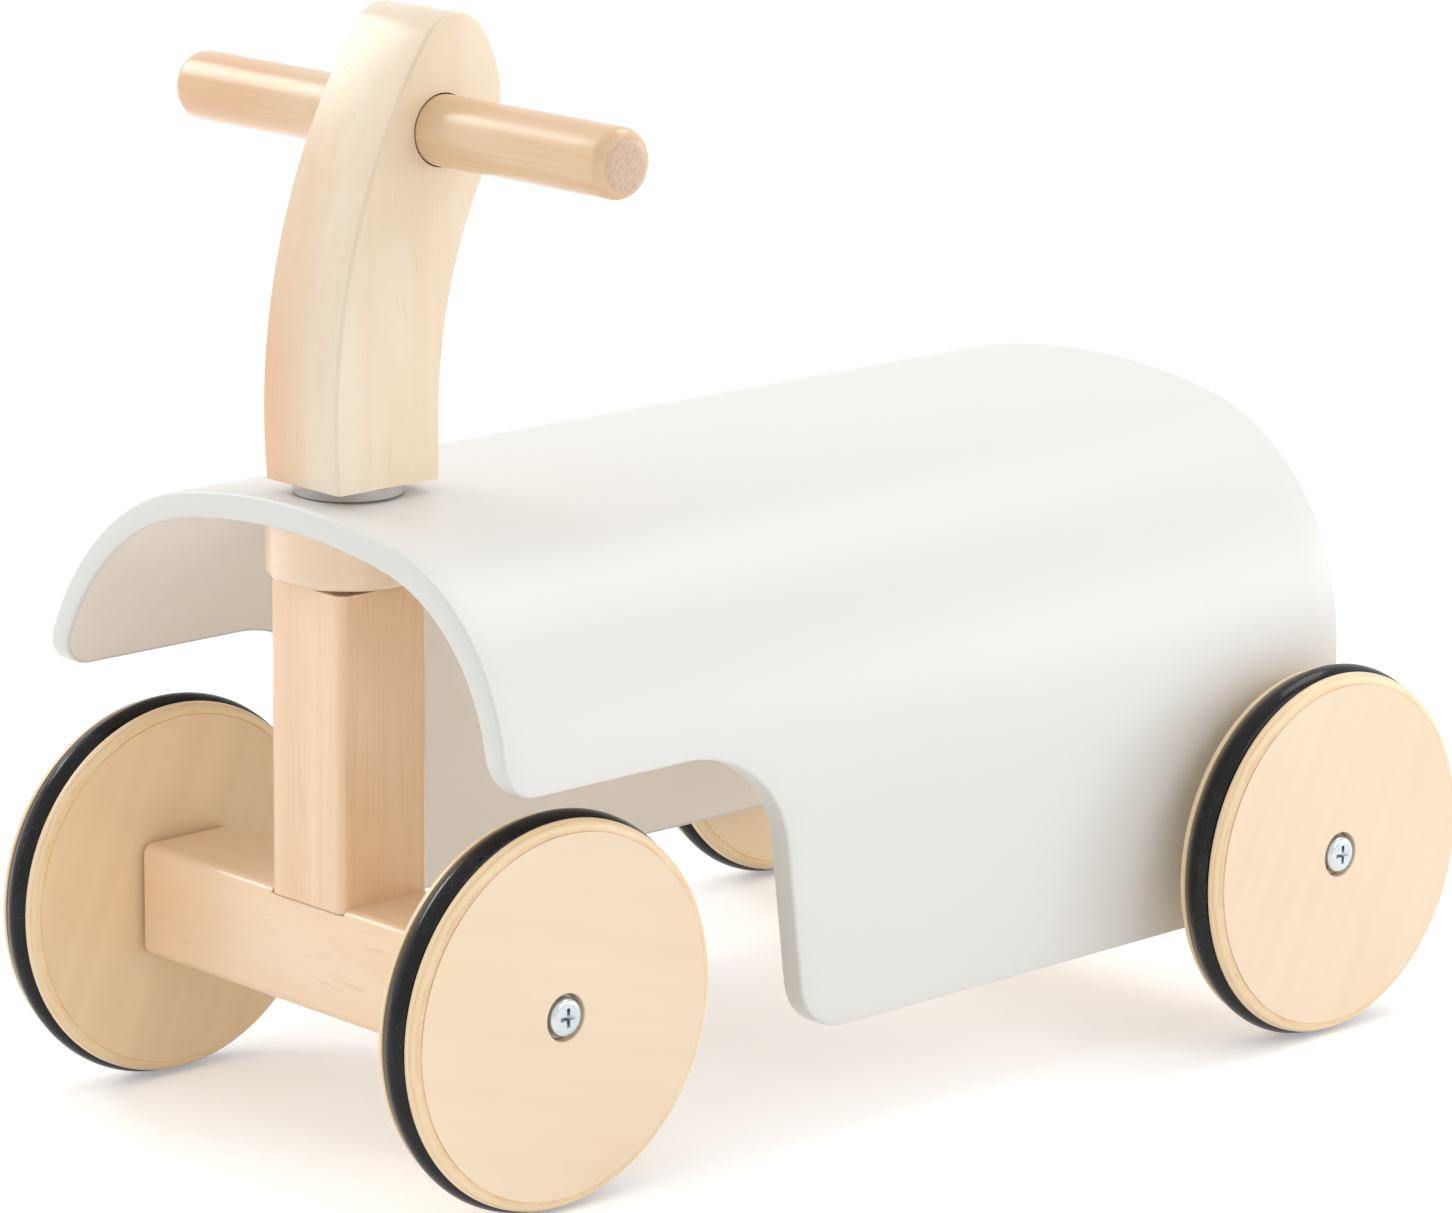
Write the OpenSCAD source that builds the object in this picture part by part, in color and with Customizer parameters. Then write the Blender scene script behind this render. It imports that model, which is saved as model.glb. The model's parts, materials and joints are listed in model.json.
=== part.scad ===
// Four-wheeled balance bike for a toddler.
// A bent plywood body is carried by an axle beam at the back and by a turning wooden column at the
// front. The column is a front axle beam, a square post, and a curved stem with a handlebar.
// Origin: on the ground, midway between the two axles. The front is -Y and up is +Z.

/* [Stance] */
// Distance between the front and the rear axle
wheelbase = 352; // [293:1:430]
// Gap between a flank of the body and the rear wheel beside it
rear_gap = 14; // [11:0.5:30]
// How far the steering turns to each side
steer_max = 40; // [10:1:48]

/* [Wheels] */
// Diameter of the wooden disc
wheel_d = 137.5; // [114.5:0.5:165]
// Thickness of the wooden disc
wheel_w = 20.5; // [17:0.5:26]
// Rounding of the disc's two rims
rim_round = 4; // [1:0.5:5]
// Thickness of the rubber ring
tyre_t = 11.4; // [8:0.2:14]
// How far the rubber ring stands out of the disc
tyre_proud = 2; // [1:0.5:4]
// Outer diameter of the sleeve bearing in the disc
bush_d = 14; // [11.5:0.5:20]
// Gap around the axle screw's head in its recess
recess_gap = 1.5; // [1:0.1:4]
// Depth of that recess
recess_depth = 5.2; // [3:0.2:8]

/* [Plywood body] */
// Greatest width over the two flanks
shell_w = 254; // [211:1:305]
// Height of the seat, which is the crown of the body
seat_h = 235; // [195:1:282]
// How far the body reaches below the axles
shell_drop = 28.75; // [10:0.25:50]
// Thickness of the plywood
ply = 9.5; // [6:0.5:15]
// Outer radius of the nearly flat crown
crown_r = 295; // [230:5:400]
// Outer radius of the shoulders
shoulder_r = 87; // [70:1:105]
// Outer radius of the haunches below the shoulders
haunch_r = 130; // [108:1:156]
// Angle from the vertical where a shoulder becomes a haunch
haunch_from = 80; // [66:1:90]
// Inward lean of the flanks towards the ground
flank_lean = 5.6; // [0:0.2:8]
// How far the crown reaches ahead of the front axle
nose_reach = 29.2; // [24.2:0.2:60]
// Backward lean of the front edge
nose_rake = 6; // [0:0.5:12]
// How far the body reaches behind the rear axle
tail_reach = 28; // [22:1:60]
// Gap between the front wheels and the skirt above them
arch_gap = 13.5; // [4:0.5:30]
// Rounding of the skirt's front corner
skirt_round = 12; // [4:1:20]
// Rounding of the wheel arch's inner corner
arch_r = 50; // [20:1:60]
// How far behind the front wheels the leg's front edge meets the lower edge
leg_gap = 39.25; // [30:0.25:60]
// Backward lean of the leg's front edge towards the ground
leg_rake = 12.5; // [0:0.5:20]
// Rounding of the body's lower corners
toe_r = 24; // [8:1:30]

/* [Stem and handlebar] */
// Width of the stem
stem_w = 40; // [33:1:48]
// How far the stem's front reaches ahead of the steering axis
stem_front = 22; // [18.3:0.1:26.4]
// How far the stem's back lies behind the steering axis, below its curve
stem_back = 25; // [20.8:0.2:30]
// Radius of the stem's convex front
stem_front_r = 230; // [192:1:276]
// Height above the seat where the stem starts to curve
stem_straight = 28; // [10:1:40]
// Height of the stem's round head above the seat
head_rise = 134.6; // [112.2:0.2:161.6]
// How far the head's centre lies behind the steering axis
head_back = 11.8; // [9.8:0.2:14.2]
// Radius of the stem's round head
head_r = 41.6; // [34.6:0.2:50]
// Rounding of the head's front top corner
head_round = 15.6; // [13:0.2:18.8]
// Diameter of the handlebar
bar_d = 25; // [20:1:30]
// Depth of the waist that the handlebar has inside the stem
bar_waist = 0.3; // [0.1:0.1:1]
// Length of the handlebar
bar_len = 228; // [180:1:300]
// Rounding of the handlebar's ends
bar_round = 5.6; // [2:0.2:8]
// How far the handlebar lies below the head's centre
bar_drop = 8.2; // [-5:0.1:20]
// How far the handlebar lies behind the head's centre
bar_setback = 14.2; // [0:0.1:18]

/* [Steering column] */
// Width of the square post
post_w = 40; // [33:1:48]
// Rounding of the long edges of the post and the beams
edge_round = 3.7; // [1:0.1:6]
// Depth of the notch that the post stands in
notch_depth = 2.2; // [1:0.1:5]
// Diameter of the round journal that turns in the bearing
journal_d = 24; // [20:1:29]
// Depth of the square mortise in the stem
mortise_depth = 26; // [16:1:32]
// Wood between the stop slots and the side of the collar under the crown
collar_rim = 5.7; // [4:0.1:12]
// Height of the collar below the crown
collar_h = 20.4; // [14:0.2:30]
// Rounding of the collar's lower edge
collar_round = 4; // [1:0.5:5]
// Wall of the sleeve bearing in the collar
sleeve_wall = 2; // [1:0.5:3]
// Thickness of that bearing's flange
flange_t = 1.2; // [0.8:0.1:3]
// Width of that flange outside the sleeve
flange_w = 2; // [1:0.5:2.5]
// Diameter of the clear washer under the stem
washer_d = 39; // [33:1:48]
// Thickness of the clear washer
washer_t = 4; // [2:0.5:6]
// Distance of the stop pins from the post's faces
stop_inset = 5.15; // [4:0.05:7]
// Diameter of a stop pin
stop_d = 4; // [3:0.5:5]

/* [Axle beams] */
// Height of both beams
beam_h = 41.5; // [34:0.5:50]
// Length of the front beam
front_beam_len = 183; // [152:1:220]
// Thickness of the washer between the front beam and a wheel
front_spacer_t = 2; // [1:0.5:6]
// Outer diameter of that washer
front_spacer_d = 22; // [16:1:34]
// Outer diameter of the rear spacers
spacer_d = 17; // [14:1:24]

/* [Fasteners] */
// Diameter of the axle screws and the steering bolt
bolt_d = 8; // [6:1:10]
// Diameter of an axle screw's pan head
pan_d = 14; // [11.5:0.5:17]
// Height of that pan head
pan_h = 4.8; // [3.5:0.1:6]
// Thickness of the washer under that head
pan_washer_t = 1.2; // [0.8:0.1:2]
// Outer diameter of the threaded inserts
insert_d = 12; // [10:0.5:14.5]
// Length of the threaded inserts
insert_len = 18; // [12:1:25]
// Diameter of the wooden dowels between the post and the beam
dowel_d = 8; // [6:1:10]
// Length of those dowels
dowel_len = 30; // [20:1:40]
// Diameter of the collar's wood screws
collar_screw_d = 4; // [3:0.5:5]
// Wood left above the tips of the collar's screws
collar_screw_cover = 4.9; // [1:0.1:8]
// Diameter of the rear beam's wood screws
beam_screw_d = 5; // [4:0.5:6]
// Length of the rear beam's wood screws
beam_screw_len = 50; // [35:1:60]
// How deep the handlebar's screw is sunk in the back of the head
bar_screw_sink = 1.3; // [1:0.1:3]

/* [Clearances] */
// Gap between faces that turn past each other
turn_gap = 0.3; // [0.2:0.05:0.6]
// Radial clearance of a shaft in its bearing
run_gap = 0.05; // [0.02:0.01:0.08]
// Clearance around a piece that is fixed in its hole
fit_gap = 0.05; // [0.02:0.01:0.1]
// Clearance around a bolt in a through hole
bolt_gap = 0.3; // [0.1:0.05:0.5]
// Clearance that lets the handlebar's ends pass through the stem
bar_gap = 0.4; // [0.1:0.05:0.6]

/* [Hidden] */
$fn = 96;

// Small overlap that joins the shapes of one piece, and the reach of a cut beyond its piece.
weld = 0.5;
beyond = 60;

// Wheels
wheel_r = wheel_d / 2;
tyre_r = tyre_t / 2;
ring_r = wheel_r + tyre_proud - tyre_r;
axle_z = wheel_r + tyre_proud;
front_y = -wheelbase / 2;
rear_y = wheelbase / 2;
recess_d = pan_d + 2 * recess_gap;
bush_len = wheel_w - recess_depth;
front_wheel_x = front_beam_len / 2 + front_spacer_t + turn_gap;

// Section of the plywood body, from the crown's middle to the end of one flank
bend_step = 2.5;
crown_c = [0, seat_h - crown_r];
crown_half = asin((shell_w / 2 - haunch_r - (shoulder_r - haunch_r) * sin(haunch_from))
    / (crown_r - shoulder_r));
shoulder_c = crown_c + (crown_r - shoulder_r) * heading(crown_half);
haunch_c = shoulder_c + (shoulder_r - haunch_r) * heading(haunch_from);
haunch_to = 90 + flank_lean;
flank_top = haunch_c + haunch_r * heading(haunch_to);
crown_under = seat_h - ply;
rear_wheel_x = wall_out_x(axle_z) + rear_gap;

// Side outline of the plywood body
side_top = seat_h + beyond;
tail_y = rear_y + tail_reach;
skirt_h = 2 * axle_z + arch_gap;
shell_bottom = axle_z - shell_drop;
leg_setback = axle_z + leg_gap;
nose_low = [nose_y(skirt_h), skirt_h];
nose_high = [nose_y(side_top), side_top];
arch_top = [leg_y(skirt_h), skirt_h];
toe = [leg_y(shell_bottom), shell_bottom];
heel = [tail_y, shell_bottom];

// Steering column, from the top down
stem_bottom = seat_h + washer_t + turn_gap;
curve_z = seat_h + stem_straight;
head_c = [head_back, seat_h + head_rise];
head_offset = head_back - stem_back;
head_lift = head_c.y - curve_z;
// The front's arc is never so tight that it cuts the head off
front_reach = stem_front + head_back;
front_arc_r = max(stem_front_r, (front_reach ^ 2 + head_lift ^ 2) / (2 * front_reach));
stem_front_c = [front_arc_r - stem_front, curve_z];
stem_back_r = (head_offset ^ 2 + head_lift ^ 2 - head_r ^ 2) / (2 * (head_r + head_offset));
stem_back_c = [stem_back + stem_back_r, curve_z];
head_round_c = meet(stem_front_c, front_arc_r - head_round, head_c, head_r - head_round);
bar_z = head_c.y - bar_drop;
bar_back = head_back + bar_setback;
bar_seat_d = bar_d - 2 * bar_waist;
collar_z = crown_under - collar_h;
collar_screw_len = collar_h + ply - collar_screw_cover;
post_top = collar_z - flange_t - turn_gap;
beam_top = axle_z + beam_h / 2;
beam_bottom = axle_z - beam_h / 2;
post_bottom = beam_top - notch_depth;
journal_r = journal_d / 2;
sleeve_r = journal_r + run_gap + sleeve_wall;
tenon_w = journal_r * sqrt(2) - 0.2;
tenon_top = stem_bottom + mortise_depth - 1;
mortise_top = stem_bottom + mortise_depth;
insert_gap = 2;
stop_angle = 45;
stop_r = (post_w / 2 - stop_inset) * sqrt(2);
stop_depth = 12;
stop_rise = 6;
slot_depth = stop_rise - (collar_z - post_top) + 1;
collar_d = 2 * (stop_r + stop_d / 2 + turn_gap + collar_rim);
flange_to_screw = 4.5;
collar_screw_r = sleeve_r + flange_w + flange_to_screw;
collar_screw_angles = [205, 270, 335];

// Steering bolt
bolt_r = bolt_d / 2;
hex_head_d = 13;
hex_head_h = 6;
hex_socket = 6.5;
hex_depth = 4;
bolt_washer_d = 18;
bolt_washer_t = 1.6;
counterbore_d = 20;
counterbore_h = hex_head_h + bolt_washer_t + 0.4;
bolt_seat = beam_bottom + counterbore_h;
bolt_end = mortise_top + insert_gap + insert_len - 3;

// Axle screws
pan_washer_d = recess_d - 1.2;
screw_bite = insert_len - 2;
point_d = 0.6;
rear_insert_depth = 1;
rear_insert_x = wall_in_x(axle_z) - rear_insert_depth;

// Insets of the beam screws and the dowels from the faces of the wood
side_inset = 7.5;
edge_inset = 9.75;
beam_screw_y = post_w / 2 - side_inset;
beam_screw_z = beam_h / 2 - edge_inset;
dowel_x = post_w / 2 - side_inset;

// Direction at an angle from straight up, turning towards the side
function heading(angle) = [sin(angle), cos(angle)];
function unit(v) = v / norm(v);
// Head of a countersunk screw
function countersunk_d(d) = 1.9 * d;
// Points along an arc after its first one
function arc(centre, r, from, to) =
    let (steps = ceil((to - from) / bend_step))
    [for (i = [1:steps]) centre + r * heading(from + (to - from) * i / steps)];
// Front edge of the body and front edge of its leg, at a height
function nose_y(z) = front_y - nose_reach - (seat_h - z) * tan(nose_rake);
function leg_y(z) = front_y + leg_setback - (z - shell_bottom) * tan(leg_rake);
// Outside and inside of the flank, at a height
function wall_out_x(z) = flank_top.x - (flank_top.y - z) * tan(flank_lean);
function wall_in_x(z) = wall_out_x(z) - ply / cos(flank_lean);
// Upper point where two circles meet, when the second one lies to the left of the first
function meet(c1, r1, c2, r2) =
    let (d = norm(c2 - c1), u = (c2 - c1) / d, a = (d ^ 2 + r1 ^ 2 - r2 ^ 2) / (2 * d))
    c1 + a * u + sqrt(r1 ^ 2 - a ^ 2) * [u.y, -u.x];

// ---------- shared shapes ----------

// The shape and its mirror image on the other side of the bike
module both_sides() {
    children();
    mirror([1, 0, 0]) children();
}

// Extrudes an XZ outline from y0 to y1
module along_y(y0, y1) {
    translate([0, y1, 0]) rotate([90, 0, 0]) linear_extrude(y1 - y0) children();
}

// Extrudes a YZ outline from x0 to x1
module along_x(x0, x1) {
    translate([x0, 0, 0]) rotate([90, 0, 90]) linear_extrude(x1 - x0) children();
}

// Moves to an axle and points +Z outwards to the left of the bike
module at_axle(x, y) {
    translate([x, y, axle_z]) rotate([0, 90, 0]) children();
}

// The corner between an arc of radius r and the two straight edges that it touches
module spandrel(corner, edge_a, edge_b, r) {
    u = unit(edge_a);
    v = unit(edge_b);
    half = acos(u * v) / 2;
    centre = corner + unit(u + v) * r / sin(half);
    difference() {
        polygon([corner, corner + u * r / tan(half), centre, corner + v * r / tan(half)]);
        translate(centre) circle(r);
    }
}

module rounded_square(size, r) {
    square([size.x, size.y - 2 * r], center = true);
    square([size.x - 2 * r, size.y], center = true);
    for (x = [-1, 1], y = [-1, 1])
        translate([x * (size.x / 2 - r), y * (size.y / 2 - r)]) circle(r);
}

module tube(d, bore, h) {
    difference() {
        cylinder(d = d, h = h);
        translate([0, 0, -weld]) cylinder(d = bore, h = h + 2 * weld);
    }
}

// Cross recess, cut down from z = 0
module cross_recess(width) {
    depth = width * 0.45;
    floor_w = width * 0.3;
    wing_t = width * 0.2;
    intersection() {
        translate([0, 0, -depth]) cylinder(d1 = floor_w, d2 = width, h = depth + 0.01);
        for (turn = [0, 90])
            rotate(turn) cube([width, wing_t, 3 * depth], center = true);
    }
}

// Countersunk wood screw with its head's face at z = 0 and its point below
module wood_screw(d, length) {
    head_d = countersunk_d(d);
    head_h = (head_d - d) / 2;
    difference() {
        union() {
            translate([0, 0, -head_h]) cylinder(d1 = d, d2 = head_d, h = head_h);
            translate([0, 0, -length + d]) cylinder(d = d, h = length - d - head_h / 2);
            translate([0, 0, -length]) cylinder(d1 = point_d, d2 = d, h = d);
        }
        cross_recess(head_d * 0.6);
    }
}

// Countersunk hole for that screw
module wood_screw_hole(d, length) {
    head_r = countersunk_d(d) / 2 + fit_gap;
    head_h = (countersunk_d(d) - d) / 2;
    translate([0, 0, -head_h]) cylinder(r1 = d / 2 + fit_gap, r2 = head_r, h = head_h);
    translate([0, 0, -weld / 10]) cylinder(r = head_r, h = beyond);
    translate([0, 0, -length - fit_gap]) cylinder(r = d / 2 + fit_gap, h = length);
}

// ---------- plywood body ----------

// Outline of the bent sheet's outside, or of its inside when the inset is the ply.
// Each bend is an arc, and the arcs touch without a kink.
function bent_outline(inset) =
    let (
        foot = haunch_c + (haunch_r - inset) * heading(haunch_to),
        side = concat(
            arc(crown_c, crown_r - inset, 0, crown_half),
            arc(shoulder_c, shoulder_r - inset, crown_half, haunch_from),
            arc(haunch_c, haunch_r - inset, haunch_from, haunch_to),
            [foot - (foot.y + inset) * [tan(flank_lean), 1]]
        ),
        last = len(side) - 1
    )
    concat([[0, seat_h - inset]], side, [for (i = [last:-1:0]) [-side[i].x, side[i].y]]);

module shell_section() {
    difference() {
        polygon(bent_outline(0));
        polygon(bent_outline(ply));
    }
}

module shell_side() {
    difference() {
        union() {
            polygon([nose_high, nose_low, arch_top, toe, heel, [tail_y, side_top]]);
            spandrel(arch_top, [-1, 0], toe - arch_top, arch_r);
        }
        spandrel(nose_low, [1, 0], nose_high - nose_low, skirt_round);
        spandrel(toe, arch_top - toe, [1, 0], toe_r);
        spandrel(heel, [-1, 0], [0, 1], toe_r);
    }
}

// Frame on the flank's outside at the rear axle: +Z points out of the plywood
module on_flank(dy, dz) {
    translate([wall_out_x(axle_z + dz), rear_y + dy, axle_z + dz])
        rotate([0, 90 + flank_lean, 0]) children();
}

module at_beam_screws() {
    for (s = [-1, 1]) on_flank(s * beam_screw_y, s * beam_screw_z) children();
}

module at_collar_screws() {
    for (a = collar_screw_angles)
        translate([collar_screw_r * cos(a), front_y + collar_screw_r * sin(a), collar_z])
            rotate([180, 0, 0]) children();
}

module shell() {
    color("whitesmoke") difference() {
        intersection() {
            along_y(nose_low.x - beyond, tail_y + beyond) shell_section();
            along_x(-shell_w, shell_w) shell_side();
        }
        translate([0, front_y, crown_under - beyond]) cylinder(r = sleeve_r + fit_gap, h = 2 * beyond);
        at_collar_screws() wood_screw_hole(collar_screw_d, collar_screw_len);
        both_sides() {
            at_beam_screws() wood_screw_hole(beam_screw_d, beam_screw_len);
            at_axle(wall_in_x(axle_z) - ply, rear_y) cylinder(r = bolt_r + bolt_gap, h = 3 * ply);
        }
    }
}

// ---------- bearing under the crown ----------

// Groove in the collar that a stop pin runs in
module stop_slot(middle) {
    slot_w = stop_d + 2 * turn_gap;
    rotate(middle - steer_max) rotate_extrude(angle = 2 * steer_max)
        translate([stop_r - slot_w / 2, -weld]) square([slot_w, slot_depth + weld]);
    for (a = [middle - steer_max, middle + steer_max])
        rotate(a) translate([stop_r, 0, -weld]) cylinder(d = slot_w, h = slot_depth + weld);
}

module collar() {
    r = collar_d / 2;
    color("burlywood") difference() {
        intersection() {
            translate([0, front_y, collar_z]) rotate_extrude() {
                translate([0, collar_round]) square([r, collar_h]);
                square([r - collar_round, collar_h]);
                translate([r - collar_round, collar_round]) circle(collar_round);
            }
            along_y(front_y - collar_d, front_y + collar_d) polygon(bent_outline(ply + fit_gap));
        }
        translate([0, front_y, collar_z - weld]) {
            cylinder(r = sleeve_r + fit_gap, h = 2 * collar_h);
            translate([0, 0, weld]) for (a = [stop_angle, 180 - stop_angle]) stop_slot(a);
        }
        at_collar_screws() wood_screw_hole(collar_screw_d, collar_screw_len);
    }
}

module collar_screws() {
    color("silver") at_collar_screws() wood_screw(collar_screw_d, collar_screw_len);
}

module steering_bush() {
    flange_r = sleeve_r + flange_w;
    color("ivory") translate([0, front_y, collar_z - flange_t]) difference() {
        union() {
            cylinder(r = flange_r, h = flange_t);
            cylinder(r = sleeve_r, h = seat_h - 1 - collar_z + flange_t);
        }
        translate([0, 0, -weld]) cylinder(r = journal_r + run_gap, h = seat_h);
    }
}

module clear_washer() {
    color("lightcyan", 0.5) translate([0, front_y, seat_h]) tube(washer_d, journal_d + 1, washer_t);
}

// ---------- rear axle ----------

module beam_outline() {
    rounded_square([post_w, beam_h], edge_round);
}

module rear_axle_beam() {
    color("wheat") difference() {
        intersection() {
            along_x(-shell_w, shell_w) translate([rear_y, axle_z]) beam_outline();
            along_y(rear_y - post_w, rear_y + post_w) polygon(bent_outline(ply));
        }
        both_sides() {
            at_axle(rear_insert_x - insert_len, rear_y) cylinder(r = insert_d / 2 + fit_gap, h = beyond);
            at_beam_screws() wood_screw_hole(beam_screw_d, beam_screw_len);
        }
    }
}

module rear_beam_screws() {
    color("silver") both_sides() at_beam_screws() wood_screw(beam_screw_d, beam_screw_len);
}

// Spacers between the flanks and the rear wheels, cut to the flank's lean
module rear_spacers() {
    start = wall_in_x(axle_z);
    color("wheat") both_sides() difference() {
        at_axle(start, rear_y)
            tube(spacer_d, bolt_d + 2 * bolt_gap, rear_wheel_x - turn_gap - start);
        on_flank(0, 0) translate([0, 0, -beyond / 2])
            cube([spacer_d * 3, spacer_d * 3, beyond], center = true);
    }
}

// ---------- axle screws ----------

// Pan head screw, with the underside of its head at z = 0 and its shank below
module pan_screw(shank) {
    r = pan_d / 2;
    edge = pan_h * 0.5;
    color("silver") difference() {
        union() {
            rotate_extrude() {
                square([r, pan_h - edge]);
                square([r - edge, pan_h]);
                translate([r - edge, pan_h - edge]) circle(edge);
            }
            translate([0, 0, 1 - shank]) cylinder(d = bolt_d, h = shank);
            translate([0, 0, -shank]) cylinder(d1 = bolt_d - 2, d2 = bolt_d, h = 1);
        }
        translate([0, 0, pan_h]) cross_recess(pan_d * 0.52);
    }
}

// Place of the screw head, outside the wheel's recess floor and the washer
function pan_x(wheel_x) = wheel_x + bush_len + turn_gap + pan_washer_t;

module axle_screws(wheel_x, y, insert_x) {
    seat = pan_x(wheel_x);
    both_sides() at_axle(seat, y) pan_screw(seat - insert_x + screw_bite);
}

module head_washers(wheel_x, y) {
    color("gainsboro") both_sides() at_axle(pan_x(wheel_x) - pan_washer_t, y)
        tube(pan_washer_d, bolt_d + 2 * fit_gap, pan_washer_t);
}

module axle_inserts(insert_x, y) {
    color("goldenrod") both_sides() at_axle(insert_x - insert_len, y)
        tube(insert_d, bolt_d + 2 * fit_gap, insert_len);
}

// ---------- stem and handlebar ----------

// Straight foot of the stem and the part that the concave back is cut from
module stem_blank() {
    difference() {
        polygon([
            [-2 * stem_front, stem_bottom], [stem_back, stem_bottom], [stem_back, curve_z],
            stem_back_c, head_c, [-2 * stem_front, head_c.y]
        ]);
        translate(stem_back_c) circle(stem_back_r);
    }
}

module stem_outline() {
    outward_front = unit(head_round_c - stem_front_c);
    outward_head = unit(head_round_c - head_c);
    difference() {
        intersection() {
            union() {
                stem_blank();
                translate(head_c) circle(head_r);
            }
            translate(stem_front_c) circle(front_arc_r);
        }
        difference() {
            polygon([
                head_round_c, head_round_c + 4 * head_round * outward_front,
                head_round_c + 4 * head_round * outward_head
            ]);
            translate(head_round_c) circle(head_round);
        }
    }
}

module stem() {
    color("wheat") difference() {
        translate([0, front_y, 0]) along_x(-stem_w / 2, stem_w / 2) stem_outline();
        translate([-stem_w, front_y + bar_back, bar_z]) rotate([0, 90, 0])
            cylinder(r = bar_d / 2 + bar_gap, h = 2 * stem_w);
        translate([0, front_y, stem_bottom]) {
            cube([tenon_w + 2 * fit_gap, tenon_w + 2 * fit_gap, 2 * mortise_depth], center = true);
            cylinder(r = insert_d / 2 + fit_gap, h = mortise_depth + insert_gap + insert_len + 1);
        }
        at_bar_screw() wood_screw_hole(collar_screw_d, bar_screw_len());
    }
}

module handlebar() {
    r = bar_d / 2;
    color("tan") difference() {
        translate([-bar_len / 2, front_y + bar_back, bar_z]) rotate([0, 90, 0]) rotate_extrude() {
            square([r - bar_round, bar_len]);
            translate([0, bar_round]) square([r, bar_len - 2 * bar_round]);
            for (z = [bar_round, bar_len - bar_round])
                translate([r - bar_round, z]) circle(bar_round);
        }
        translate([-stem_w / 2, front_y + bar_back, bar_z]) rotate([0, 90, 0])
            tube(2 * bar_d, bar_seat_d, stem_w);
        at_bar_screw() wood_screw_hole(collar_screw_d, bar_screw_len());
    }
}

// The screw runs from the back of the head through most of the handlebar
function head_surface(z) = head_c.x + sqrt(head_r ^ 2 - (z - head_c.y) ^ 2);
function bar_screw_len() = head_surface(bar_z) - bar_screw_sink - bar_back + bar_d / 4;

module at_bar_screw() {
    translate([0, front_y + head_surface(bar_z) - bar_screw_sink, bar_z]) rotate([-90, 0, 0]) children();
}

module handlebar_screw() {
    color("silver") at_bar_screw() wood_screw(collar_screw_d, bar_screw_len());
}

module stem_insert() {
    color("goldenrod") translate([0, front_y, mortise_top + insert_gap])
        tube(insert_d, bolt_d + 2 * fit_gap, insert_len);
}

// ---------- post and front beam ----------

module post_dowels_at(grow) {
    for (x = [-dowel_x, dowel_x])
        translate([x, front_y, post_bottom])
            cylinder(d = dowel_d + 2 * grow, h = dowel_len + 2 * grow, center = true);
}

module stop_pins_at(grow) {
    for (a = [stop_angle, 180 - stop_angle])
        translate([stop_r * cos(a), front_y + stop_r * sin(a), post_top - stop_depth - grow])
            cylinder(d = stop_d + 2 * grow, h = stop_depth + stop_rise + grow);
}

module post() {
    color("navajowhite") difference() {
        union() {
            translate([0, front_y, post_bottom]) linear_extrude(post_top - post_bottom)
                rounded_square([post_w, post_w], edge_round);
            translate([0, front_y, post_top - weld])
                cylinder(r = journal_r, h = stem_bottom - post_top + weld);
            translate([-tenon_w / 2, front_y - tenon_w / 2, stem_bottom - weld])
                cube([tenon_w, tenon_w, tenon_top - stem_bottom + weld]);
        }
        translate([0, front_y, 0]) cylinder(r = bolt_r + bolt_gap, h = stem_bottom + beyond);
        post_dowels_at(fit_gap);
        stop_pins_at(fit_gap);
    }
}

module post_dowels() {
    color("burlywood") post_dowels_at(0);
}

module stop_pins() {
    color("silver") stop_pins_at(0);
}

module front_axle_beam() {
    half = front_beam_len / 2;
    color("navajowhite") difference() {
        along_x(-half, half) translate([front_y, axle_z]) beam_outline();
        translate([-post_w / 2, front_y - post_w, post_bottom]) cube([post_w, 2 * post_w, beam_h]);
        translate([0, front_y, beam_bottom - weld]) {
            cylinder(d = counterbore_d, h = counterbore_h + weld);
            cylinder(r = bolt_r + bolt_gap, h = 2 * beam_h);
        }
        post_dowels_at(fit_gap);
        both_sides() at_axle(half - insert_len, front_y) cylinder(r = insert_d / 2 + fit_gap, h = beyond);
    }
}

// Socket head bolt, driven up from below the front beam
module steering_bolt() {
    head_z = bolt_seat - bolt_washer_t - hex_head_h;
    color("silver") translate([0, front_y, 0]) difference() {
        union() {
            translate([0, 0, head_z]) cylinder(d = hex_head_d, h = hex_head_h);
            translate([0, 0, head_z + weld]) cylinder(r = bolt_r, h = bolt_end - head_z - weld);
        }
        translate([0, 0, head_z - weld]) cylinder(d = hex_socket, h = hex_depth + weld, $fn = 6);
    }
}

module steering_bolt_washer() {
    color("gainsboro") translate([0, front_y, bolt_seat - bolt_washer_t])
        tube(bolt_washer_d, bolt_d + 2 * fit_gap, bolt_washer_t);
}

module front_spacers() {
    color("gainsboro") both_sides() at_axle(front_beam_len / 2, front_y)
        tube(front_spacer_d, bolt_d + 2 * fit_gap, front_spacer_t);
}

// ---------- wheels ----------

// Puts a wheel's piece, which lies from z = 0 outwards, at its corner of the bike
module at_wheel(front, left) {
    x = front ? front_wheel_x : rear_wheel_x;
    y = front ? front_y : rear_y;
    mirror([left ? 0 : 1, 0, 0]) at_axle(x, y) children();
}

module wheel(front, left) {
    groove_r = tyre_r + fit_gap;
    color("wheat") at_wheel(front, left) rotate_extrude() difference() {
        union() {
            square([wheel_r - rim_round, wheel_w]);
            translate([0, rim_round]) square([wheel_r, wheel_w - 2 * rim_round]);
            for (z = [rim_round, wheel_w - rim_round])
                translate([wheel_r - rim_round, z]) circle(rim_round);
        }
        translate([ring_r, wheel_w / 2]) {
            circle(groove_r);
            translate([0, -groove_r]) square([tyre_t, 2 * groove_r]);
        }
        translate([0, -weld]) square([bush_d / 2 + fit_gap, wheel_w + 2 * weld]);
        translate([0, bush_len]) square([recess_d / 2, recess_depth + weld]);
    }
}

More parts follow.
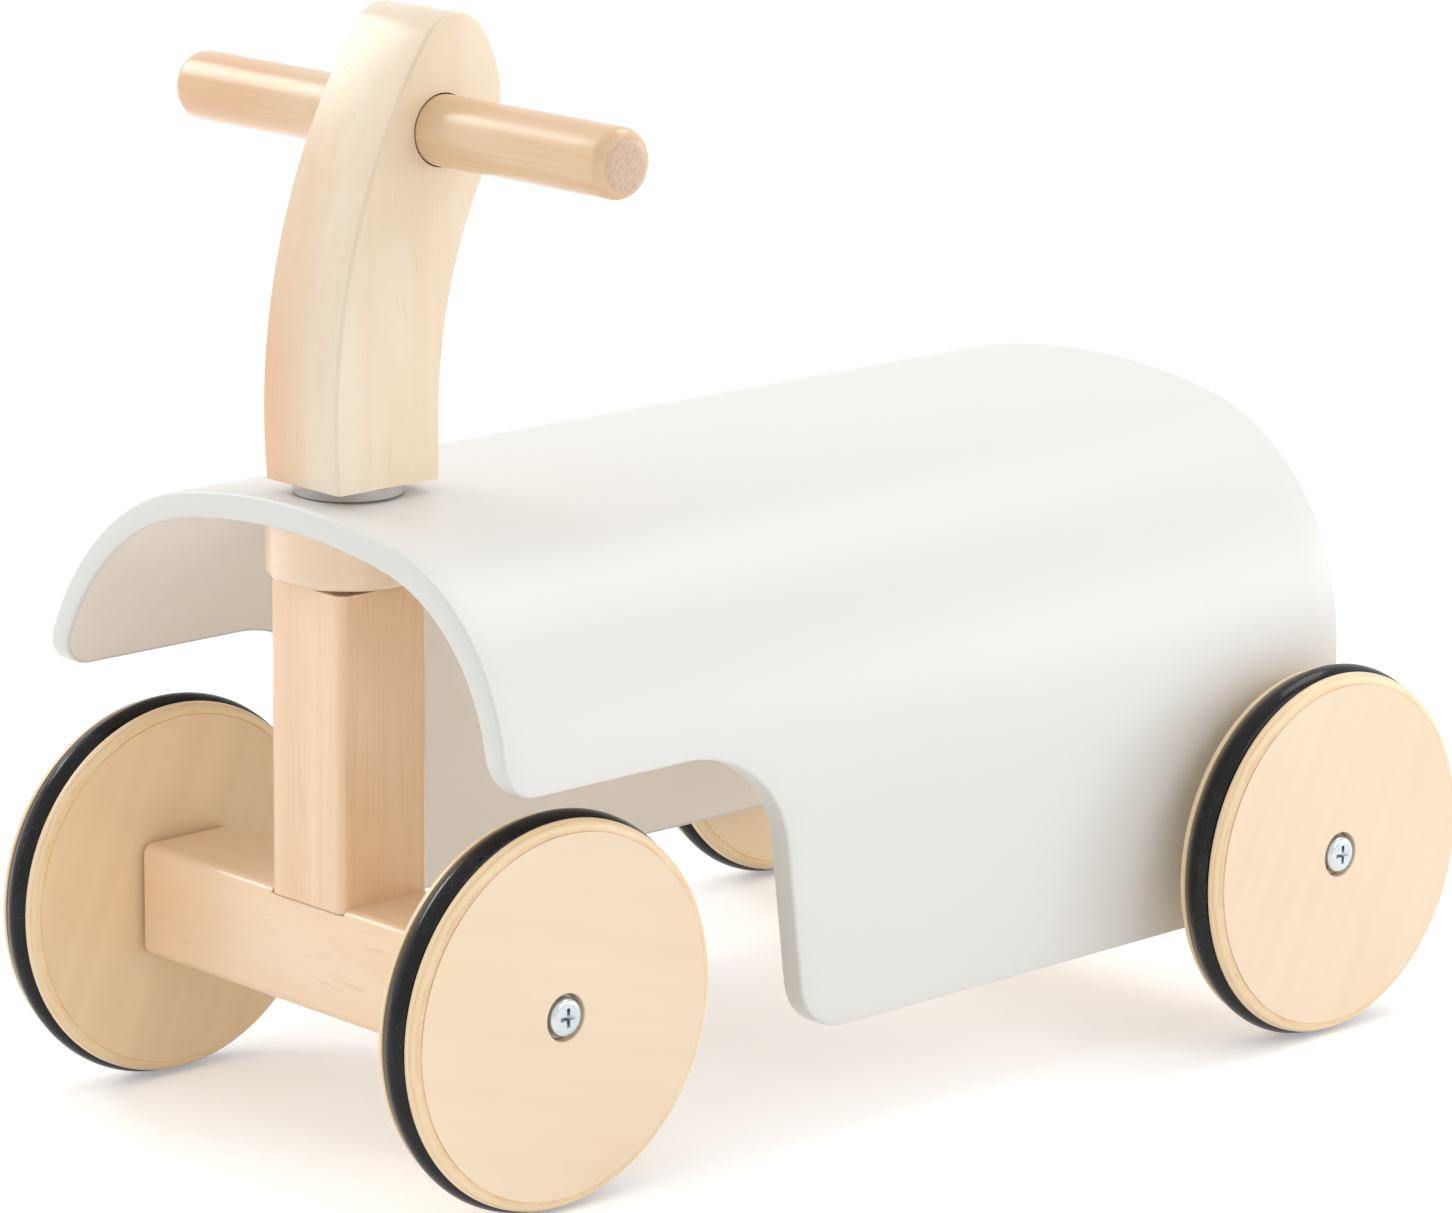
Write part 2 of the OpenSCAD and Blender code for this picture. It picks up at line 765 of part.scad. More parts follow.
module tyre(front, left) {
    color("black") at_wheel(front, left) rotate_extrude()
        translate([ring_r, wheel_w / 2]) circle(tyre_r);
}

module bush(front, left) {
    color("ivory") at_wheel(front, left) tube(bush_d, bolt_d + 2 * run_gap, bush_len);
}

// ---------- the assembly ----------

shell();
collar();
collar_screws();
steering_bush();
clear_washer();
rear_axle_beam();
rear_beam_screws();
axle_inserts(rear_insert_x, rear_y);  // rear_axle_inserts
axle_screws(rear_wheel_x, rear_y, rear_insert_x);  // rear_axle_screws
head_washers(rear_wheel_x, rear_y);  // rear_head_washers
rear_spacers();
stem();
handlebar();
handlebar_screw();
stem_insert();
post();
post_dowels();
stop_pins();
front_axle_beam();
steering_bolt();
steering_bolt_washer();
axle_inserts(front_beam_len / 2, front_y);  // front_axle_inserts
axle_screws(front_wheel_x, front_y, front_beam_len / 2);  // front_axle_screws
head_washers(front_wheel_x, front_y);  // front_head_washers
front_spacers();
wheel(true, true);  // wheel_front_left
wheel(true, false);  // wheel_front_right
wheel(false, true);  // wheel_rear_left
wheel(false, false);  // wheel_rear_right
tyre(true, true);  // tyre_front_left
tyre(true, false);  // tyre_front_right
tyre(false, true);  // tyre_rear_left
tyre(false, false);  // tyre_rear_right
bush(true, true);  // bush_front_left
bush(true, false);  // bush_front_right
bush(false, true);  // bush_rear_left
bush(false, false);  // bush_rear_right
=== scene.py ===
"""Looks of the toddler's balance bike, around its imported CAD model. All lengths are in metres."""
import json
import math

import bmesh
import bpy
from mathutils import Matrix, Vector, geometry

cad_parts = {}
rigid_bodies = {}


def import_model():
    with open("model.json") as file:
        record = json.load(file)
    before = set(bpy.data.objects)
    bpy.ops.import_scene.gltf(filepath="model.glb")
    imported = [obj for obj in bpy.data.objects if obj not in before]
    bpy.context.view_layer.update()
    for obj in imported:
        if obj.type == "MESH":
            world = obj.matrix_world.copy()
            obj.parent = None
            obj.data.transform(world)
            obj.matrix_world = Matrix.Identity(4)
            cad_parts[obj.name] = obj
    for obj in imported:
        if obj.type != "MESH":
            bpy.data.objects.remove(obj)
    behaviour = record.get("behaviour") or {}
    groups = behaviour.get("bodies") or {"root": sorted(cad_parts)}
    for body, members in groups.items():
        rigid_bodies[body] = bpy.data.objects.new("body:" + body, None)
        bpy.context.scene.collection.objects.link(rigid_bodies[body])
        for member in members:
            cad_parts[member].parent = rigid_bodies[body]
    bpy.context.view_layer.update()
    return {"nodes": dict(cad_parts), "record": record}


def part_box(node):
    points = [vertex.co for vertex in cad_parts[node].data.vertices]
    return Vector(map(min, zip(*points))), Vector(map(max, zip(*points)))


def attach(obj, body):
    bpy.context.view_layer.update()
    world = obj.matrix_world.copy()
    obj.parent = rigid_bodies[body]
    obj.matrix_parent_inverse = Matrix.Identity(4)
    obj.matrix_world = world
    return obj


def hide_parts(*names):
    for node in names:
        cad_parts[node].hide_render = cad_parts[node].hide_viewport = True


CORNERS = ("front_left", "front_right", "rear_left", "rear_right")

# Camera
PHOTO_W = 1452
FOCAL_PX = 6143.95
CAMERA_AT = (1.59804, -1.51475, 0.70317)
CAMERA_AZ = 0.81190
CAMERA_EL = 0.23970
CAMERA_ROLL = 0.01080
CENTRE_OFF_PX = (-9.4, 1.42)

# The seat's height and the axles' places, as in the CAD model
SEAT_Z = 0.235
FRONT_AXLE_Y = -0.176
REAR_AXLE_Y = 0.176

# Wheel discs
DISC_WIDTH = 0.0205
RIM_R = 0.06875
RIM_ROUND = 0.004
CREASE_R = RIM_R - RIM_ROUND
PLY_STEP = 0.0017

# Hole of the handlebar in the stem
BAR_HOLE_R = 0.0129


# ---------------------------------------------------------------- node trees

class Tree:
    """Short calls for building one material's nodes."""

    def __init__(self, name):
        self.material = bpy.data.materials.new(name)
        self.material.use_nodes = True
        self.take(self.material)

    @classmethod
    def of(cls, owner):
        """The empty tree of a world."""
        tree = cls.__new__(cls)
        tree.take(owner)
        return tree

    def take(self, owner):
        self.nodes = owner.node_tree.nodes
        self.links = owner.node_tree.links
        self.nodes.clear()

    def add(self, kind, inputs=None, **settings):
        """A node. An input is given by name or number, as a value or as another node's output."""
        node = self.nodes.new(kind)
        for key, value in settings.items():
            setattr(node, key, value)
        for key, value in (inputs or {}).items():
            if isinstance(value, bpy.types.NodeSocket):
                self.links.new(value, node.inputs[key])
            else:
                node.inputs[key].default_value = value
        return node

    def place(self, scale=(1, 1, 1), rotation=(0, 0, 0), location=(0, 0, 0)):
        """Object coordinates, stretched and turned."""
        coordinates = self.add("ShaderNodeTexCoord").outputs["Object"]
        mapping = self.add("ShaderNodeMapping", {
            "Vector": coordinates, "Scale": scale, "Rotation": rotation, "Location": location,
        })
        return mapping.outputs["Vector"]

    def noise(self, vector, scale, detail=2.0, roughness=0.5, distortion=0.0):
        return self.add("ShaderNodeTexNoise", {
            "Vector": vector, "Scale": scale, "Detail": detail,
            "Roughness": roughness, "Distortion": distortion,
        }).outputs["Fac"]

    def ramp(self, value, low, high, to_low=0.0, to_high=1.0):
        """value, stretched from low..high to to_low..to_high and clamped."""
        return self.add("ShaderNodeMapRange", {
            "Value": value, "From Min": low, "From Max": high, "To Min": to_low, "To Max": to_high,
        }).outputs["Result"]

    def math(self, operation, a, b=0.0):
        return self.add("ShaderNodeMath", {0: a, 1: b}, operation=operation).outputs[0]

    def mix(self, factor, a, b, blend="MIX"):
        """Two colours, mixed."""
        node = self.add("ShaderNodeMix", data_type="RGBA", blend_type=blend)
        for index, value in ((0, factor), (6, a), (7, b)):
            if isinstance(value, bpy.types.NodeSocket):
                self.links.new(value, node.inputs[index])
            else:
                node.inputs[index].default_value = value
        return node.outputs[2]

    def bump(self, height, strength, distance):
        return self.add("ShaderNodeBump", {
            "Height": height, "Strength": strength, "Distance": distance,
        }).outputs["Normal"]

    def finish(self, **inputs):
        shader = self.add("ShaderNodeBsdfPrincipled",
                          {k.replace("_", " "): v for k, v in inputs.items()})
        self.add("ShaderNodeOutputMaterial", {"Surface": shader.outputs["BSDF"]})
        return self.material


def srgb(r, g, b):
    """A colour as it is seen on a screen, 0 to 255, as Blender's linear one."""
    def linear(c):
        c /= 255
        return c / 12.92 if c <= 0.04045 else ((c + 0.055) / 1.055) ** 2.4
    return (linear(r), linear(g), linear(b), 1.0)


# ---------------------------------------------------------------- materials

def wood(name, light, dark, blush, along, seed, lines=0.5, blush_amount=0.5, flecks=0.3, gloss=0.22,
         coat=1.0, end_grain=None, shadow_seam=None, warmth=None):
    """Lacquered pale hardwood with its grain and short specks along one axis. It can have end
    grain on the faces across that axis, a painted shadow line in the joint at the height given
    by seam, and a warmer colour where warmth says. Faces marked bore get painted shade, nearly
    black."""
    tree = Tree(name)
    along = "XYZ".index(along)
    whole = tree.place(location=(seed, seed * 0.7, seed * 1.3))

    def stretched(share):
        """The wood's coordinates, with marks drawn out along the grain."""
        scale = [1.0, 1.0, 1.0]
        scale[along] = share
        return tree.add("ShaderNodeMapping", {"Vector": whole, "Scale": scale}).outputs["Vector"]

    grain = stretched(0.03)
    growth = tree.noise(grain, 55, detail=1.0, distortion=0.3)
    ring = tree.math("SINE", tree.math("MULTIPLY", growth, 70.0))
    broken = tree.ramp(tree.noise(whole, 30, detail=1.0), 0.35, 0.6)
    line = tree.math("MULTIPLY", tree.ramp(ring, 0.70, 1.0), broken)
    fibres = tree.noise(grain, 1100, detail=3, roughness=0.6)
    streaks = tree.noise(grain, 160, detail=3, roughness=0.55)
    patches = tree.noise(stretched(0.35), 22, detail=1.5, roughness=0.45, distortion=0.5)

    tone = tree.math("ADD", tree.ramp(streaks, 0.3, 0.7, 0.0, 0.55),
                     tree.ramp(fibres, 0.3, 0.7, 0.0, 0.3))
    tone = tree.math("ADD", tone, tree.math("MULTIPLY", line, lines))
    colour = tree.mix(tree.ramp(tone, 0.0, 1.2), light, dark)
    colour = tree.mix(tree.ramp(patches, 0.42, 0.62, 0.0, blush_amount), colour, blush, "MULTIPLY")
    if warmth:
        colour = tree.mix(warmth(tree), colour, srgb(250, 222, 201), "MULTIPLY")
    speck = tree.math("MULTIPLY", tree.ramp(tree.noise(stretched(0.1), 620, detail=1), 0.66, 0.74),
                      tree.ramp(tree.noise(whole, 34, detail=1), 0.50, 0.62))
    colour = tree.mix(tree.math("MULTIPLY", speck, flecks), colour, srgb(214, 178, 140), "MULTIPLY")
    if end_grain:
        normal = tree.add("ShaderNodeTexCoord").outputs["Normal"]
        facing = tree.add("ShaderNodeSeparateXYZ", {0: normal}).outputs[along]
        across = tree.ramp(tree.math("ABSOLUTE", facing), 0.80, 0.93)
        pores = tree.ramp(tree.noise(whole, 900, detail=2), 0.35, 0.65)
        colour = tree.mix(across, colour, tree.mix(pores, *end_grain))
    # Painted shadow: a dark line in the joint, at the height given by seam, where this part stands on
    # another.
    if shadow_seam:
        height = tree.add("ShaderNodeSeparateXYZ", {0: tree.place()}).outputs["Z"]
        off = tree.math("ABSOLUTE", tree.math("SUBTRACT", height, shadow_seam))
        near = tree.ramp(off, 0.0002, 0.0005, 1.0, 0.0)
        colour = tree.mix(tree.math("MULTIPLY", near, 0.75), colour, srgb(140, 98, 62))
    # Painted shade: the faces marked bore, inside the handlebar's hole, go nearly black.
    bore = tree.add("ShaderNodeAttribute", attribute_name="bore").outputs["Fac"]
    colour = tree.mix(bore, colour, srgb(16, 11, 8))

    relief = tree.math("ADD", tree.math("MULTIPLY", fibres, 0.6), tree.math("MULTIPLY", line, 0.3))
    return tree.finish(
        Base_Color=colour, Roughness=tree.ramp(fibres, 0.3, 0.7, gloss + 0.14, gloss + 0.24),
        Normal=tree.bump(relief, 0.06, 0.0003), Coat_Weight=coat, Coat_Roughness=gloss,
        Specular_IOR_Level=0.3,
    )


def stem_wood():
    def warmth(tree):
        """More at the foot of the front, on the right-hand side."""
        place = tree.add("ShaderNodeSeparateXYZ", {0: tree.place()}).outputs
        waver = tree.math("MULTIPLY", tree.noise(tree.place((1, 1, 0.1)), 45), 0.016)
        side = tree.ramp(tree.math("ADD", place["X"], waver), 0.010, -0.008)
        front = tree.ramp(place["Y"], FRONT_AXLE_Y + 0.010, FRONT_AXLE_Y - 0.006)
        low = tree.ramp(place["Z"], 0.40, 0.27)
        return tree.math("MULTIPLY", tree.math("MULTIPLY", side, front), low)

    return wood("stem_wood", srgb(241, 229, 207), srgb(236, 219, 193), srgb(252, 235, 217), "Z",
                0.37, lines=0.14, blush_amount=0.5, flecks=0.25, gloss=0.2, coat=0.5,
                warmth=warmth)


def post_wood():
    return wood("post_wood", srgb(251, 221, 185), srgb(239, 196, 156), srgb(252, 238, 226), "Z",
                1.91, lines=0.28, blush_amount=0.5, flecks=0.15, shadow_seam=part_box("post")[0].z + 0.0001)


def beam_wood():
    return wood("beam_wood", srgb(254, 227, 194), srgb(246, 213, 177), srgb(255, 240, 230), "X",
                2.53, lines=0.1, blush_amount=0.5, flecks=0.2)


def collar_wood():
    return wood("collar_wood", srgb(249, 229, 201), srgb(238, 211, 183), srgb(254, 236, 228), "X",
                3.17, lines=0.35, blush_amount=0.5, flecks=0.1)


def dowel_wood():
    return wood("dowel_wood", srgb(233, 203, 164), srgb(219, 179, 134), srgb(251, 226, 206), "X",
                4.41, lines=0.25, blush_amount=0.7, flecks=0.2, gloss=0.24,
                end_grain=(srgb(200, 166, 140), srgb(214, 182, 156)))


def wheel_plywood():
    """Lacquered birch plywood: plain faces, a rounded rim that shows the plies, and a painted
    shade line on the step between them. The inner faces carry painted warm bounce light,
    warmer and lighter than the outer ones."""
    tree = Tree("wheel_plywood")
    whole = tree.place()
    turn = tree.add("ShaderNodeAttribute", attribute_type="OBJECT", attribute_name="grain_turn")
    turned = tree.add("ShaderNodeVectorRotate", {"Vector": whole, "Angle": turn.outputs["Fac"]},
                      rotation_type="X_AXIS").outputs["Vector"]
    grain = tree.add("ShaderNodeMapping", {"Vector": turned, "Scale": (1, 0.04, 1)}).outputs["Vector"]
    streaks = tree.noise(grain, 90, detail=2, roughness=0.5)
    patches = tree.noise(whole, 14, detail=1.5)
    face = tree.mix(tree.ramp(streaks, 0.3, 0.7), srgb(243, 222, 195), srgb(241, 218, 189))
    face = tree.mix(tree.ramp(patches, 0.45, 0.65, 0.0, 0.5), face, srgb(255, 248, 238), "MULTIPLY")

    place = tree.add("ShaderNodeSeparateXYZ", {0: whole}).outputs
    radius = tree.math("SQRT", tree.math("ADD", tree.math("POWER", place["Y"], 2.0),
                                         tree.math("POWER", place["Z"], 2.0)))
    wobble = tree.math("MULTIPLY", tree.noise(whole, 60, detail=2), 0.0016)
    across = tree.math("ADD", tree.math("ABSOLUTE", place["X"]), wobble)
    wave = tree.math("SINE", tree.math("MULTIPLY", across, 2 * math.pi / PLY_STEP))
    uneven = tree.ramp(tree.noise(whole, 90, detail=3), 0.35, 0.65, 0.25, 1.0)
    plies = tree.math("MULTIPLY", tree.ramp(wave, -0.2, 1.0), uneven)
    rim = tree.mix(plies, srgb(248, 222, 181), srgb(235, 200, 154))
    on_rim = tree.ramp(radius, CREASE_R, CREASE_R + 0.0002)
    colour = tree.mix(on_rim, face, rim)
    # Painted light: the inner faces get a warmer, lighter copy of the colours, standing in for warm
    # bounce light in their shade.
    inner_face = -DISC_WIDTH / 2
    behind = tree.ramp(place["X"], inner_face + 0.00105, inner_face + 0.00045)
    bounce_lit_face = tree.mix(tree.ramp(streaks, 0.3, 0.7), srgb(254, 228, 189), srgb(247, 219, 180))
    bounce_lit_rim = tree.mix(plies, srgb(255, 236, 196), srgb(255, 218, 160))
    colour = tree.mix(behind, colour, tree.mix(on_rim, bounce_lit_face, bounce_lit_rim))
    # Painted shade: a brown line on the small riser where the rounded rim starts, fainter in places.
    line = tree.math("MULTIPLY", tree.ramp(radius, CREASE_R - 0.00015, CREASE_R - 0.00005),
                     tree.ramp(radius, CREASE_R + 0.0003, CREASE_R + 0.0001))
    faint = tree.ramp(tree.noise(whole, 40, detail=2), 0.35, 0.6, 0.15, 0.55)
    colour = tree.mix(tree.math("MULTIPLY", line, faint), colour, srgb(196, 150, 98))
    return tree.finish(
        Base_Color=colour, Roughness=tree.ramp(streaks, 0.3, 0.7, 0.36, 0.44),
        Normal=tree.bump(streaks, 0.03, 0.0002), Coat_Weight=0.5, Coat_Roughness=0.25,
        Specular_IOR_Level=0.3,
    )


def white_plywood():
    """Satin warm white lacquer. Its edges show a cool grey, and its inside is painted lighter
    and warmer, as the warm bounce light there.
    """
    tree = Tree("white_plywood")
    peel = tree.noise(tree.place(), 420, detail=2)
    cloud = tree.noise(tree.place(), 9, detail=2)
    outside = tree.mix(cloud, srgb(230, 229, 225), srgb(228, 226, 222))
    # Painted light: the inside is lighter and warmer than the outside, for the warm bounce light in
    # it.
    inside = tree.mix(cloud, srgb(254, 249, 241), srgb(252, 246, 237))
    edge = tree.mix(cloud, srgb(228, 229, 224), srgb(223, 225, 219))
    on_edge = tree.add("ShaderNodeAttribute", attribute_name="edge").outputs["Fac"]
    on_inside = tree.add("ShaderNodeAttribute", attribute_name="inside").outputs["Fac"]
    colour = tree.mix(on_inside, tree.mix(on_edge, outside, edge), inside)
    return tree.finish(
        Base_Color=colour, Roughness=tree.ramp(peel, 0.3, 0.7, 0.34, 0.42),
        Normal=tree.bump(peel, 0.05, 0.0002), Coat_Weight=0.2, Coat_Roughness=0.3,
        Specular_IOR_Level=0.4,
    )


def black_rubber():
    tree = Tree("black_rubber")
    skin = tree.noise(tree.place(), 700, detail=3)
    zone = tree.ramp(tree.noise(tree.place(), 45, detail=1), 0.42, 0.62)
    dust = tree.ramp(tree.noise(tree.place(), 1900, detail=2, roughness=0.7), 0.63, 0.72)
    dust = tree.math("MULTIPLY", dust, zone)
    colour = tree.mix(tree.math("MULTIPLY", dust, 0.6), srgb(8, 8, 9), srgb(150, 152, 155))
    return tree.finish(
        Base_Color=colour, Roughness=tree.ramp(skin, 0.3, 0.7, 0.10, 0.20),
        Normal=tree.bump(skin, 0.08, 0.0003), Specular_IOR_Level=0.30,
    )


def nylon():
    tree = Tree("nylon")
    haze = tree.noise(tree.place(), 120, detail=2)
    colour = tree.mix(haze, srgb(238, 236, 228), srgb(228, 225, 214))
    return tree.finish(
        Base_Color=colour, Roughness=tree.ramp(haze, 0.3, 0.7, 0.42, 0.55),
        Subsurface_Weight=0.1, Subsurface_Scale=0.002,
    )


def clear_plastic():
    """Thin clear plastic, which lets half of what lies behind it through, with a painted contact
    shadow, a dark line, along its foot."""
    tree = Tree("clear_plastic")
    haze = tree.noise(tree.place(), 260, detail=2)
    colour = tree.mix(haze, srgb(244, 243, 240), srgb(236, 236, 233))
    # Painted shadow: a dark line at the foot, where the washer sits on the part below.
    height = tree.add("ShaderNodeSeparateXYZ", {0: tree.place()}).outputs["Z"]
    above = tree.math("SUBTRACT", height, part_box("clear_washer")[0].z)
    colour = tree.mix(tree.ramp(above, 0.0003, 0.0006, 1.0, 0.0), colour, srgb(96, 92, 86))
    return tree.finish(
        Base_Color=colour, Roughness=tree.ramp(haze, 0.3, 0.7, 0.05, 0.10), Alpha=0.5,
        Specular_IOR_Level=0.7,
    )


def pale_washer():
    tree = Tree("pale_washer")
    haze = tree.noise(tree.place(), 300, detail=2)
    colour = tree.mix(haze, srgb(236, 234, 226), srgb(224, 221, 211))
    return tree.finish(Base_Color=colour, Roughness=tree.ramp(haze, 0.3, 0.7, 0.35, 0.5))


def zinc_steel():
    """Bright zinc plating, slightly blue, with fine turning marks."""
    tree = Tree("zinc_steel")
    marks = tree.noise(tree.place(), 1600, detail=2)
    cloud = tree.noise(tree.place(), 180, detail=2)
    colour = tree.mix(cloud, srgb(214, 221, 224), srgb(188, 196, 202))
    return tree.finish(
        Base_Color=colour, Metallic=1.0, Roughness=tree.ramp(cloud, 0.3, 0.7, 0.20, 0.30),
        Normal=tree.bump(marks, 0.04, 0.0002),
    )


MATERIALS = {
    "white_plywood": white_plywood, "stem_wood": stem_wood, "post_wood": post_wood,
    "beam_wood": beam_wood, "collar_wood": collar_wood, "dowel_wood": dowel_wood,
    "wheel_plywood": wheel_plywood, "black_rubber": black_rubber, "nylon": nylon,
    "clear_plastic": clear_plastic, "pale_washer": pale_washer, "zinc_steel": zinc_steel,
}


def dress_nodes(frame):
    """Gives each CAD node the material of its slot, and returns the materials by slot."""
    made = {slot: make() for slot, make in MATERIALS.items()}
    for part in frame["record"]["subparts"]:
        node = frame["nodes"][part["node"]]
        node.data.materials.clear()
        node.data.materials.append(made[part["material_slot"]])
    return made


# ---------------------------------------------------------------- pieces

def link(name, bm, material):
    """A new object from a bmesh."""
    mesh = bpy.data.meshes.new(name)
    bm.to_mesh(mesh)
    bm.free()
    mesh.materials.append(material)
    piece = bpy.data.objects.new(name, mesh)
    bpy.context.scene.collection.objects.link(piece)
    return piece


def smooth(piece, degrees):
    for polygon in piece.data.polygons:
        polygon.use_smooth = True
    piece.data.set_sharp_from_angle(angle=math.radians(degrees))


def settle(piece, nodes, body):
    """Puts a finished piece in the place of its CAD nodes."""
    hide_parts(*nodes)
    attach(piece, body)
    return piece


def heading(angle):
    """Direction in the (x, z) plane, from straight up."""
    return Vector((math.sin(angle), math.cos(angle)))


def arc_points(centre, radius, start, end, count):
    """count points after the first one of an arc, with angles in radians from +x."""
    return [centre + radius * Vector((math.cos(a), math.sin(a)))
            for a in (start + (end - start) * i / count for i in range(1, count + 1))]


def corner_arc(corner, before, after, radius):
    """Centre, start and end angle of the arc in a corner whose edges leave along before and after."""
    before, after = before.normalized(), after.normalized()
    half = before.angle(after) / 2
    centre = corner + (before + after).normalized() * radius / math.sin(half)
    first = corner + before * radius / math.tan(half) - centre
    last = corner + after * radius / math.tan(half) - centre
    start = math.atan2(first.y, first.x)
    sweep = (math.atan2(last.y, last.x) - start + math.pi) % (2 * math.pi) - math.pi
    return centre, start, start + sweep


class Panel:
    """The bent plywood. A place in it is (s, y, depth): the way round the bend from the crown's
    middle, the place along the bike, and the depth below the outer face."""
    ply = 0.0095
    half_width = 0.127
    crown_r, shoulder_r, haunch_r = 0.295, 0.087, 0.130
    haunch_from = math.radians(80)
    lean = math.radians(5.6)
    rake = math.radians(6)
    leg_rake = math.radians(12.5)
    nose = FRONT_AXLE_Y - 0.0292
    leg_foot = FRONT_AXLE_Y + 0.110
    skirt = 0.155
    skirt_round, arch_round, toe_round = 0.012, 0.050, 0.024

    def __init__(self, box):
        half_width, haunch_from = self.half_width, self.haunch_from
        crown_r, shoulder_r, haunch_r = self.crown_r, self.shoulder_r, self.haunch_r
        first = math.asin((half_width - haunch_r - (shoulder_r - haunch_r) * math.sin(haunch_from))
                          / (crown_r - shoulder_r))
        crown = Vector((0, SEAT_Z - crown_r))
        shoulder = crown + (crown_r - shoulder_r) * heading(first)
        haunch = shoulder + (shoulder_r - haunch_r) * heading(haunch_from)
        last = math.radians(90) + self.lean
        self.arcs = []
        s = 0.0
        for centre, radius, start, end in ((crown, crown_r, 0.0, first),
                                           (shoulder, shoulder_r, first, haunch_from),
                                           (haunch, haunch_r, haunch_from, last)):
            length = radius * (end - start)
            self.arcs.append((centre, radius, start, end, s, s + length))
            s += length
        self.flank_s = s
        low, high = box
        self.tail = high.y
        self.bottom = low.z

    def at(self, s, y, depth):
        """The point in space."""
        side = -1 if s < 0 else 1
        s = abs(s)
        for centre, radius, start, end, s0, s1 in self.arcs:
            if s <= s1:
                p = centre + (radius - depth) * heading(start + (s - s0) / radius)
                return Vector((side * p.x, y, p.y))
        centre, radius, _, end, _, _ = self.arcs[-1]
        p = centre + (radius - depth) * heading(end) + (s - self.flank_s) * heading(end + math.pi / 2)
        return Vector((side * p.x, y, p.y))

    def way(self, z, depth):
        """How far round the bend a height is reached, at that depth."""
        for centre, radius, start, end, s0, _ in self.arcs:
            cosine = (z - centre.y) / (radius - depth)
            if cosine >= math.cos(end):
                return s0 + radius * (math.acos(min(1.0, cosine)) - start)
        centre, radius, _, end, _, _ = self.arcs[-1]
        top = centre.y + (radius - depth) * math.cos(end)
        return self.flank_s + (top - z) / math.cos(self.lean)

    def nose_y(self, z):
        return self.nose - (SEAT_Z - z) * math.tan(self.rake)

    def leg_y(self, z):
        return self.leg_foot - (z - self.bottom) * math.tan(self.leg_rake)

    def half_loop(self, depth, inset):
        """(s, y) of the left half's edge at a depth, drawn in by the inset, from nose to tail."""
        skirt = self.skirt + inset
        bottom = self.bottom + inset
        nose_in = inset / math.cos(self.rake)
        leg_in = inset / math.cos(self.leg_rake)
        nose_low = Vector((self.nose_y(skirt) + nose_in, skirt))
        arch = Vector((self.leg_y(skirt) + leg_in, skirt))
        toe = Vector((self.leg_y(bottom) + leg_in, bottom))
        heel = Vector((self.tail - inset, bottom))
        up_nose = Vector((math.tan(self.rake), 1))
        down_leg = toe - arch
        skirt_r = self.skirt_round - inset
        arch_r = self.arch_round + inset
        toe_r = self.toe_round - inset
        skirt_arc = corner_arc(nose_low, up_nose, Vector((1, 0)), skirt_r)
        arch_arc = corner_arc(arch, Vector((-1, 0)), down_leg, arch_r)
        toe_arc = corner_arc(toe, -down_leg, Vector((1, 0)), toe_r)
        heel_arc = corner_arc(heel, Vector((-1, 0)), Vector((0, 1)), toe_r)

        def start(arc, radius):
            return arc[0] + radius * Vector((math.cos(arc[1]), math.sin(arc[1])))

        def line(a, b, count):
            return [a.lerp(b, i / count) for i in range(1, count + 1)]

        low = start(skirt_arc, skirt_r)
        reach = self.way(low.y, depth)
        across = 72
        loop = []
        for i in range(across + 1):
            s = reach * i / across
            z = self.at(s, 0, depth).z
            loop.append((s, self.nose_y(z) + nose_in))
        outline = arc_points(skirt_arc[0], skirt_r, *skirt_arc[1:], 10)
        for arc, radius, on_line, on_arc in ((arch_arc, arch_r, 8, 24), (toe_arc, toe_r, 10, 16),
                                             (heel_arc, toe_r, 24, 16)):
            outline += line(outline[-1], start(arc, radius), on_line)
            outline += arc_points(arc[0], radius, *arc[1:], on_arc)
        loop += [(self.way(p.y, depth), p.x) for p in outline]
        foot = loop[-1][0]
        loop += [(foot * (1 - i / across), self.tail - inset) for i in range(1, across + 1)]
        return loop

    def loop(self, depth, inset):
        left = self.half_loop(depth, inset)
        return left + [(-s, y) for s, y in reversed(left[1:-1])]


